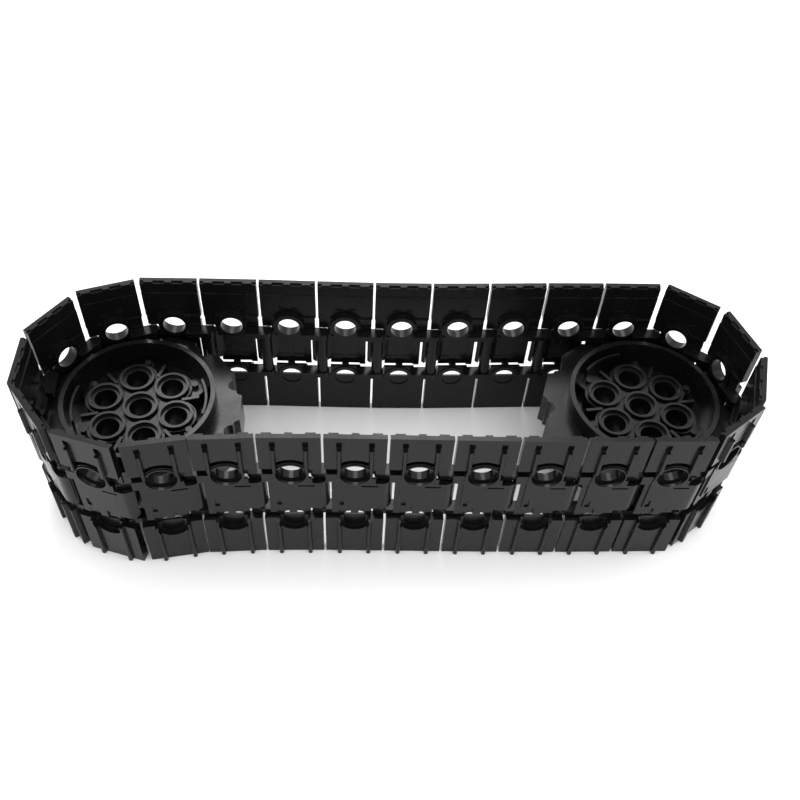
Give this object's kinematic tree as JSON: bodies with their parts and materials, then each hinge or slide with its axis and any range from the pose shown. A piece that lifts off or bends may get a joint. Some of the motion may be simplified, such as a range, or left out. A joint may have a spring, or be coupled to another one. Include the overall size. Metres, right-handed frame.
{
  "type": "snap-link track loop with two sprockets",
  "caption": "Loop of identical hinged plastic tread links running round two toothed sprockets, the running gear of a tracked chassis.",
  "frame": {"origin": "centre of the loop's outline, on the surface the lower tread edge lies on", "axes": "+Z along both sprocket axes and every hinge, +X along the loop towards the right sprocket, +Y towards the back run"},
  "size_m": [0.1524, 0.0464, 0.04],
  "materials": {
    "tread_link": "satin black moulded ABS",
    "sprocket": "satin black moulded ABS"
  },
  "bodies": {
    "front_link_1": {"link_01": "tread_link"},
    "front_link_2": {"link_02": "tread_link"},
    "front_link_3": {"link_03": "tread_link"},
    "front_link_4": {"link_04": "tread_link"},
    "front_link_5": {"link_05": "tread_link"},
    "front_link_6": {"link_06": "tread_link"},
    "front_link_7": {"link_07": "tread_link"},
    "front_link_8": {"link_08": "tread_link"},
    "left_sprocket": {"sprocket_left": "sprocket", "link_23": "tread_link", "link_24": "tread_link", "link_25": "tread_link", "link_26": "tread_link", "link_27": "tread_link"},
    "right_sprocket": {"sprocket_right": "sprocket", "link_09": "tread_link", "link_10": "tread_link", "link_11": "tread_link", "link_12": "tread_link", "link_13": "tread_link"},
    "back_link_1": {"link_22": "tread_link"},
    "back_link_2": {"link_21": "tread_link"},
    "back_link_3": {"link_20": "tread_link"},
    "back_link_4": {"link_19": "tread_link"},
    "back_link_5": {"link_18": "tread_link"},
    "back_link_6": {"link_17": "tread_link"},
    "back_link_7": {"link_16": "tread_link"},
    "back_link_8": {"link_15": "tread_link"},
    "back_link_9": {"link_14": "tread_link"}
  },
  "joints": [
    {"name": "front_slack", "type": "hinge", "parent": "front_link_1", "child": "front_link_2", "pos_m": [-0.04115, -0.01879, 0.02], "axis": [0, 0, 1], "range_deg": [-1, 1]},
    {"name": "front_hinge_2", "type": "hinge", "parent": "front_link_2", "child": "front_link_3", "pos_m": [-0.02856, -0.01834, 0.02], "axis": [0, 0, 1], "range_deg": [-2.33, 2.33]},
    {"name": "front_hinge_3", "type": "hinge", "parent": "front_link_3", "child": "front_link_4", "pos_m": [-0.01596, -0.01845, 0.02], "axis": [0, 0, 1], "range_deg": [-2.67, 2.67]},
    {"name": "front_hinge_4", "type": "hinge", "parent": "front_link_4", "child": "front_link_5", "pos_m": [-0.00337, -0.01875, 0.02], "axis": [0, 0, 1], "range_deg": [-3.33, 3.33]},
    {"name": "front_hinge_5", "type": "hinge", "parent": "front_link_5", "child": "front_link_6", "pos_m": [0.00922, -0.01908, 0.02], "axis": [0, 0, 1], "range_deg": [-2.67, 2.67]},
    {"name": "front_hinge_6", "type": "hinge", "parent": "front_link_6", "child": "front_link_7", "pos_m": [0.02182, -0.01937, 0.02], "axis": [0, 0, 1], "range_deg": [-2.33, 2.33]},
    {"name": "front_hinge_7", "type": "hinge", "parent": "front_link_7", "child": "front_link_8", "pos_m": [0.03441, -0.01958, 0.02], "axis": [0, 0, 1], "range_deg": [-3, 3]},
    {"name": "drive", "type": "hinge", "parent": "front_link_1", "child": "left_sprocket", "pos_m": [-0.05361, -0.02064, 0.02], "axis": [0, 0, 1], "range_deg": [0, 18]},
    {"name": "drive_right", "type": "hinge", "parent": "front_link_8", "child": "right_sprocket", "pos_m": [0.04701, -0.01964, 0.02], "axis": [0, 0, 1], "range_deg": [-1, 19]},
    {"name": "back_lead", "type": "hinge", "parent": "left_sprocket", "child": "back_link_1", "pos_m": [-0.05361, 0.02006, 0.02], "axis": [0, 0, 1], "range_deg": [-16.98, 1]},
    {"name": "back_slack", "type": "hinge", "parent": "back_link_1", "child": "back_link_2", "pos_m": [-0.04103, 0.01995, 0.02], "axis": [0, 0, 1], "range_deg": [-3, 3]},
    {"name": "back_hinge_2", "type": "hinge", "parent": "back_link_2", "child": "back_link_3", "pos_m": [-0.02845, 0.01969, 0.02], "axis": [0, 0, 1], "range_deg": [-3, 3]},
    {"name": "back_hinge_3", "type": "hinge", "parent": "back_link_3", "child": "back_link_4", "pos_m": [-0.01588, 0.01924, 0.02], "axis": [0, 0, 1], "range_deg": [-3, 3]},
    {"name": "back_hinge_4", "type": "hinge", "parent": "back_link_4", "child": "back_link_5", "pos_m": [-0.00331, 0.01886, 0.02], "axis": [0, 0, 1], "range_deg": [-5, 5]},
    {"name": "back_hinge_5", "type": "hinge", "parent": "back_link_5", "child": "back_link_6", "pos_m": [0.00927, 0.01875, 0.02], "axis": [0, 0, 1], "range_deg": [-5, 5]},
    {"name": "back_hinge_6", "type": "hinge", "parent": "back_link_6", "child": "back_link_7", "pos_m": [0.02185, 0.01891, 0.02], "axis": [0, 0, 1], "range_deg": [-3, 3]},
    {"name": "back_hinge_7", "type": "hinge", "parent": "back_link_7", "child": "back_link_8", "pos_m": [0.03443, 0.01914, 0.02], "axis": [0, 0, 1], "range_deg": [-3, 3]},
    {"name": "back_hinge_8", "type": "hinge", "parent": "back_link_8", "child": "back_link_9", "pos_m": [0.04701, 0.01918, 0.02], "axis": [0, 0, 1], "range_deg": [-5, 5]}
  ],
  "couplings": [
    {"joint": "front_hinge_2", "follows": "front_slack", "ratio": 0.33333},
    {"joint": "front_hinge_3", "follows": "front_slack", "ratio": -0.66667},
    {"joint": "front_hinge_4", "follows": "front_slack", "ratio": -1.3333},
    {"joint": "front_hinge_5", "follows": "front_slack", "ratio": -0.66667},
    {"joint": "front_hinge_6", "follows": "front_slack", "ratio": 0.33333},
    {"joint": "front_hinge_7", "follows": "front_slack", "ratio": 1},
    {"joint": "drive_right", "follows": "drive", "ratio": 1},
    {"joint": "back_lead", "follows": "drive", "ratio": -0.88799},
    {"joint": "back_hinge_2", "follows": "back_slack", "ratio": 0.33333},
    {"joint": "back_hinge_3", "follows": "back_slack", "ratio": -0.33333},
    {"joint": "back_hinge_4", "follows": "back_slack", "ratio": -1},
    {"joint": "back_hinge_5", "follows": "back_slack", "ratio": -1},
    {"joint": "back_hinge_6", "follows": "back_slack", "ratio": -0.33333},
    {"joint": "back_hinge_7", "follows": "back_slack", "ratio": 0.33333},
    {"joint": "back_hinge_8", "follows": "back_slack", "ratio": 1}
  ]
}
